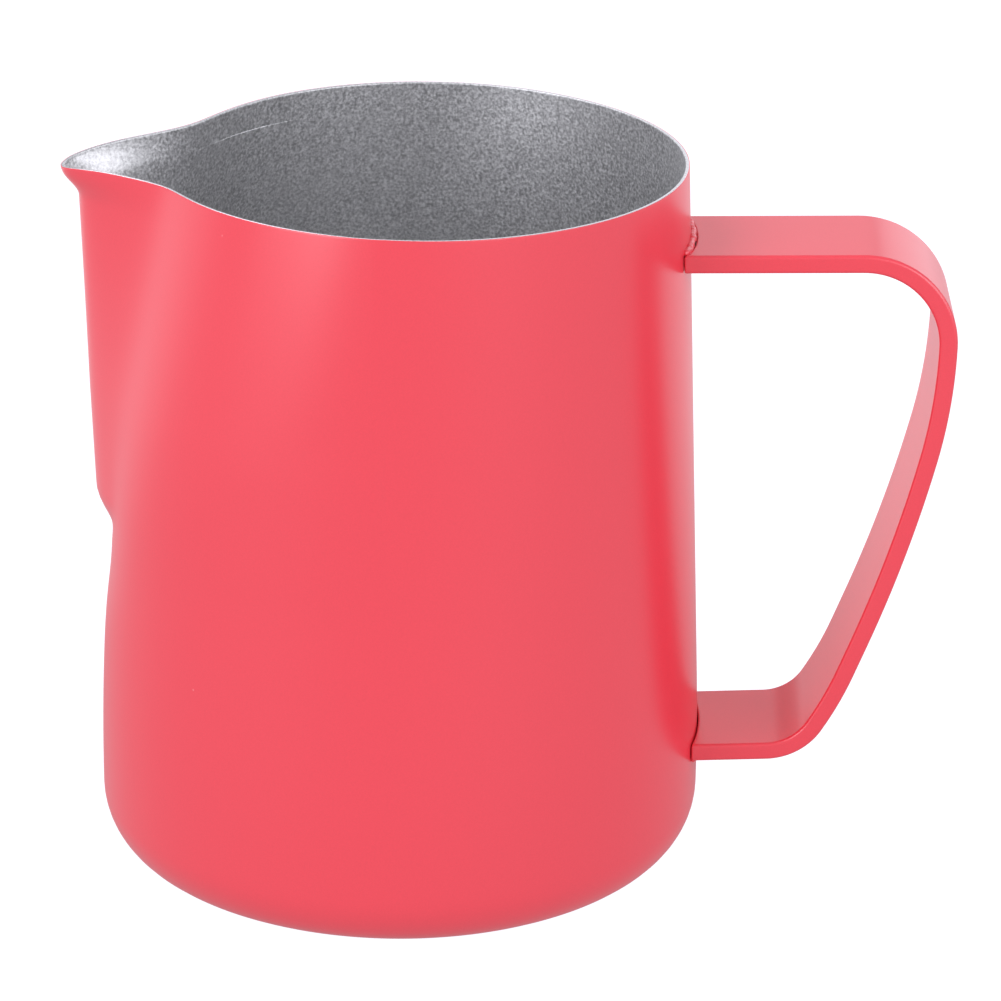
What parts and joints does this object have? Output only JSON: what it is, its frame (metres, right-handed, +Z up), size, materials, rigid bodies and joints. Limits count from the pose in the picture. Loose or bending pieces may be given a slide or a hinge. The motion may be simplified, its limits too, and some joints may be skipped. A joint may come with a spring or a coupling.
{
  "type": "milk frothing pitcher",
  "caption": "Open steel jug with a rounded base, a pressed pouring spout and a flat strap handle, coated outside and bare sandblasted steel inside.",
  "frame": {"origin": "centre of the flat base, on the vessel's own axis", "axes": "+Z up, -X from the axis to the spout, +X from the axis to the handle, +Y across the pitcher"},
  "size_m": [0.1291, 0.09, 0.105],
  "materials": {
    "coat": "satin",
    "weld": "matte",
    "steel": "matte"
  },
  "bodies": {
    "root": {"vessel": "coat", "handle": "coat", "upper_weld": "weld", "lower_weld": "weld"}
  },
  "joints": []
}
